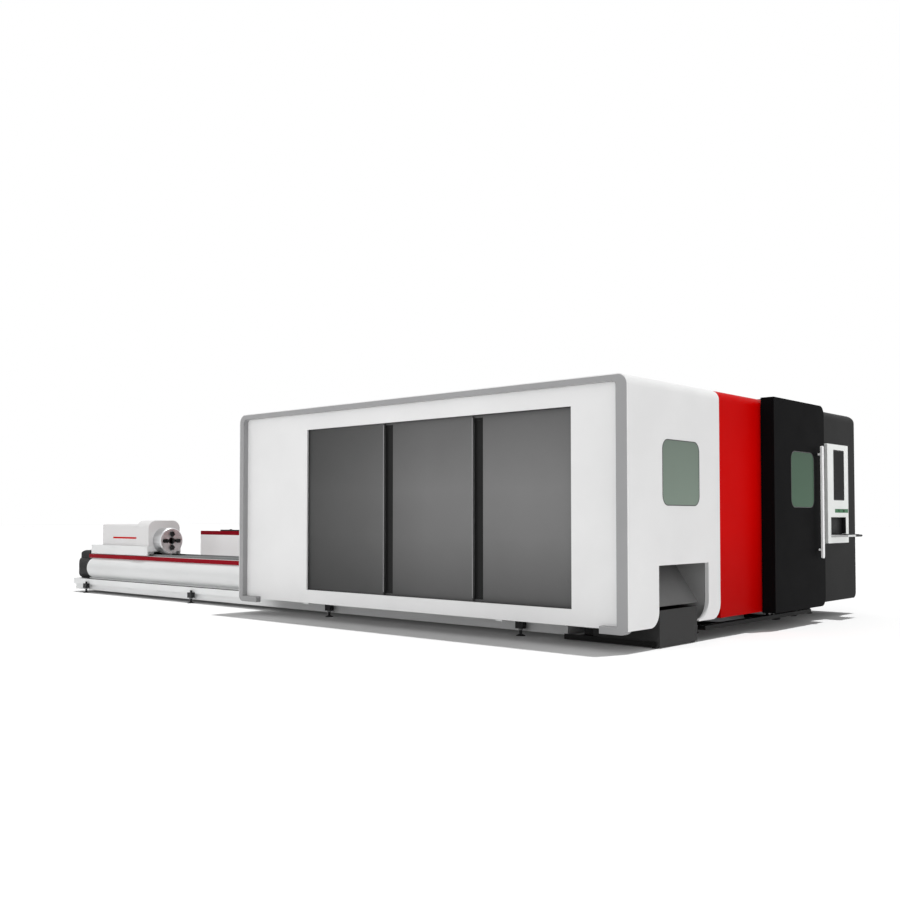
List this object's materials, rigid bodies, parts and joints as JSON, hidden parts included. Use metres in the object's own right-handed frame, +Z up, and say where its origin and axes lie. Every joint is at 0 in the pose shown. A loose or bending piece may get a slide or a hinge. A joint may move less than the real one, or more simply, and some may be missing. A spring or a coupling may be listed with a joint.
{
  "type": "fiber laser cutting machine",
  "caption": "Enclosed fiber laser cutting machine with sliding leaves, tube bed with a feeding chuck, gantry head, operator panel and a shuttle table with slatted pallets.",
  "frame": {"origin": "middle of the footprint on the floor", "axes": "+X along the tube towards the operator end, +Y from the sliding leaves to the utility cabinet, +Z up"},
  "size_m": [10.731, 5.077, 2.4],
  "materials": {
    "white_paint": "satin powder coat",
    "grey_paint": "satin powder coat",
    "dark_paint": "satin powder coat",
    "leaf_paint": "satin powder coat",
    "black_trim": "matt black profile",
    "green_glass": "tinted laser-safe pane",
    "door_glass": "tinted laser-safe pane",
    "chute_paint": "satin paint",
    "bin_paint": "satin paint",
    "red_paint": "gloss powder coat",
    "rail_steel": "ground steel",
    "black_paint": "satin powder coat",
    "handle_white": "gloss paint",
    "cabinet_paint": "fine texture powder coat",
    "unit_paint": "satin paint",
    "panel_white": "satin paint",
    "screen_glass": "glossy dark screen",
    "green_plastic": "dark green plastic",
    "dark_plastic": "moulded plastic",
    "tray_paint": "satin paint",
    "key_plastic": "moulded keys",
    "bed_paint": "satin paint",
    "beam_aluminium": "machined",
    "head_metal": "anodised black",
    "base_paint": "satin paint",
    "band_paint": "gloss paint",
    "cap_plastic": "moulded cover",
    "foot_iron": "blackened",
    "chuck_steel": "machined steel",
    "jaw_steel": "blackened steel",
    "slat_steel": "raw steel"
  },
  "bodies": {
    "machine": {"tube_hood": "white_paint", "hood_front_panel": "white_paint", "edge_border": "grey_paint", "door_tracks": "dark_paint", "hood_window": "green_glass", "outlet_chute": "chute_paint", "sheet_hood": "red_paint", "front_door_rails": "rail_steel", "utility_cabinet": "cabinet_paint", "laser_source": "unit_paint", "control_rack": "unit_paint", "hmi_housing": "panel_white", "hmi_screen": "screen_glass", "button_strip": "green_plastic", "sheet_bed": "bed_paint", "gantry_rails": "rail_steel", "tube_bed": "base_paint", "bed_side_covers": "white_paint", "red_bands": "band_paint", "bed_end_cap": "cap_plastic", "bed_ways": "rail_steel", "levelling_feet": "foot_iron", "front_chuck_stand": "base_paint", "table_frame": "base_paint", "table_covers": "white_paint", "table_drive": "dark_plastic"},
    "leaf_left": {"door_leaf_left": "leaf_paint"},
    "leaf_middle": {"door_leaf_middle": "leaf_paint", "middle_leaf_strip": "black_trim"},
    "leaf_right": {"door_leaf_right": "leaf_paint", "right_leaf_strip": "black_trim"},
    "bin": {"parts_bin": "bin_paint"},
    "front_door": {"front_door_panel": "black_paint", "front_door_trolleys": "dark_paint", "front_door_glass": "door_glass", "front_door_handle": "handle_white"},
    "service_left": {"service_door_left": "cabinet_paint"},
    "service_right": {"service_door_right": "cabinet_paint"},
    "start_key": {"start_button": "green_plastic"},
    "stop_key": {"stop_button": "dark_plastic"},
    "knob": {"selector_knob": "dark_plastic"},
    "tray": {"keyboard_tray": "tray_paint", "keyboard": "key_plastic"},
    "gantry": {"gantry_beam": "beam_aluminium"},
    "carriage_y": {"head_carriage": "beam_aluminium"},
    "head": {"cutting_head": "head_metal"},
    "chuck_slide": {"chuck_carriage": "base_paint", "chuck_housing": "white_paint", "housing_trim": "red_paint"},
    "chuck": {"rear_chuck": "chuck_steel"},
    "jaw_top": {"rear_jaw_top": "jaw_steel"},
    "jaw_bottom": {"rear_jaw_bottom": "jaw_steel"},
    "jaw_near": {"rear_jaw_near": "jaw_steel"},
    "jaw_far": {"rear_jaw_far": "jaw_steel"},
    "fixed_chuck": {"front_chuck": "chuck_steel", "front_jaws": "jaw_steel"},
    "pallet_up": {"upper_pallet": "bed_paint", "upper_slats": "slat_steel"},
    "pallet_low": {"lower_pallet": "bed_paint", "lower_slats": "slat_steel"}
  },
  "joints": [
    {"name": "leaf_left_slide", "type": "slide", "parent": "machine", "child": "leaf_left", "axis": [1, 0, 0], "range_m": [0, 2.436]},
    {"name": "leaf_middle_slide", "type": "slide", "parent": "machine", "child": "leaf_middle", "axis": [1, 0, 0], "range_m": [-1.218, 1.218]},
    {"name": "leaf_right_slide", "type": "slide", "parent": "machine", "child": "leaf_right", "axis": [1, 0, 0], "range_m": [-2.436, 0]},
    {"name": "bin_slide", "type": "slide", "parent": "machine", "child": "bin", "axis": [1, 0, 0], "range_m": [0, 0.5]},
    {"name": "front_door_slide", "type": "slide", "parent": "machine", "child": "front_door", "axis": [0, -1, 0], "range_m": [0, 1.15]},
    {"name": "service_left_hinge", "type": "hinge", "parent": "machine", "child": "service_left", "pos_m": [1.477, 2.5305, 1.29], "axis": [0, 0, 1], "range_deg": [0, 110]},
    {"name": "service_right_hinge", "type": "hinge", "parent": "machine", "child": "service_right", "pos_m": [3.277, 2.5305, 1.29], "axis": [0, 0, -1], "range_deg": [0, 110]},
    {"name": "start_press", "type": "slide", "parent": "machine", "child": "start_key", "axis": [-1, 0, 0], "range_m": [0, 0.004], "stiffness_N_per_m": 600},
    {"name": "stop_press", "type": "slide", "parent": "machine", "child": "stop_key", "axis": [-1, 0, 0], "range_m": [0, 0.004], "stiffness_N_per_m": 600},
    {"name": "knob_turn", "type": "hinge", "parent": "machine", "child": "knob", "pos_m": [5.1445, 2.1615, 1.64], "axis": [0, 1, 0], "range_deg": [-45, 45]},
    {"name": "tray_fold", "type": "hinge", "parent": "machine", "child": "tray", "pos_m": [5.1605, 1.8615, 0.945], "axis": [0, -1, 0], "range_deg": [0, 90]},
    {"name": "gantry_travel", "type": "slide", "parent": "machine", "child": "gantry", "axis": [1, 0, 0], "range_m": [-1.8, 1.7]},
    {"name": "head_cross", "type": "slide", "parent": "gantry", "child": "carriage_y", "axis": [0, 1, 0], "range_m": [-1.72, 0.85]},
    {"name": "head_lift", "type": "slide", "parent": "carriage_y", "child": "head", "axis": [0, 0, 1], "range_m": [-0.41, 0]},
    {"name": "chuck_feed", "type": "slide", "parent": "machine", "child": "chuck_slide", "axis": [1, 0, 0], "range_m": [0, 5.8]},
    {"name": "chuck_spin", "type": "hinge", "parent": "chuck_slide", "child": "chuck", "pos_m": [-3.2055, -1.6585, 0.816], "axis": [1, 0, 0], "continuous": true},
    {"name": "jaw_top_move", "type": "slide", "parent": "chuck", "child": "jaw_top", "axis": [0, 0, 1], "range_m": [-0.02, 0.017]},
    {"name": "jaw_bottom_move", "type": "slide", "parent": "chuck", "child": "jaw_bottom", "axis": [0, 0, -1], "range_m": [-0.02, 0.017]},
    {"name": "jaw_near_move", "type": "slide", "parent": "chuck", "child": "jaw_near", "axis": [0, -1, 0], "range_m": [-0.02, 0.017]},
    {"name": "jaw_far_move", "type": "slide", "parent": "chuck", "child": "jaw_far", "axis": [0, 1, 0], "range_m": [-0.02, 0.017]},
    {"name": "fixed_chuck_spin", "type": "hinge", "parent": "machine", "child": "fixed_chuck", "pos_m": [3.7845, -1.6585, 0.816], "axis": [1, 0, 0], "continuous": true},
    {"name": "upper_pallet_shuttle", "type": "slide", "parent": "machine", "child": "pallet_up", "axis": [1, 0, 0], "range_m": [0, 4.2]},
    {"name": "lower_pallet_shuttle", "type": "slide", "parent": "machine", "child": "pallet_low", "axis": [1, 0, 0], "range_m": [-4.2, 0]}
  ],
  "couplings": [
    {"joint": "fixed_chuck_spin", "follows": "chuck_spin", "ratio": 1},
    {"joint": "jaw_bottom_move", "follows": "jaw_top_move", "ratio": 1},
    {"joint": "jaw_near_move", "follows": "jaw_top_move", "ratio": 1},
    {"joint": "jaw_far_move", "follows": "jaw_top_move", "ratio": 1},
    {"joint": "lower_pallet_shuttle", "follows": "upper_pallet_shuttle", "ratio": -1}
  ]
}
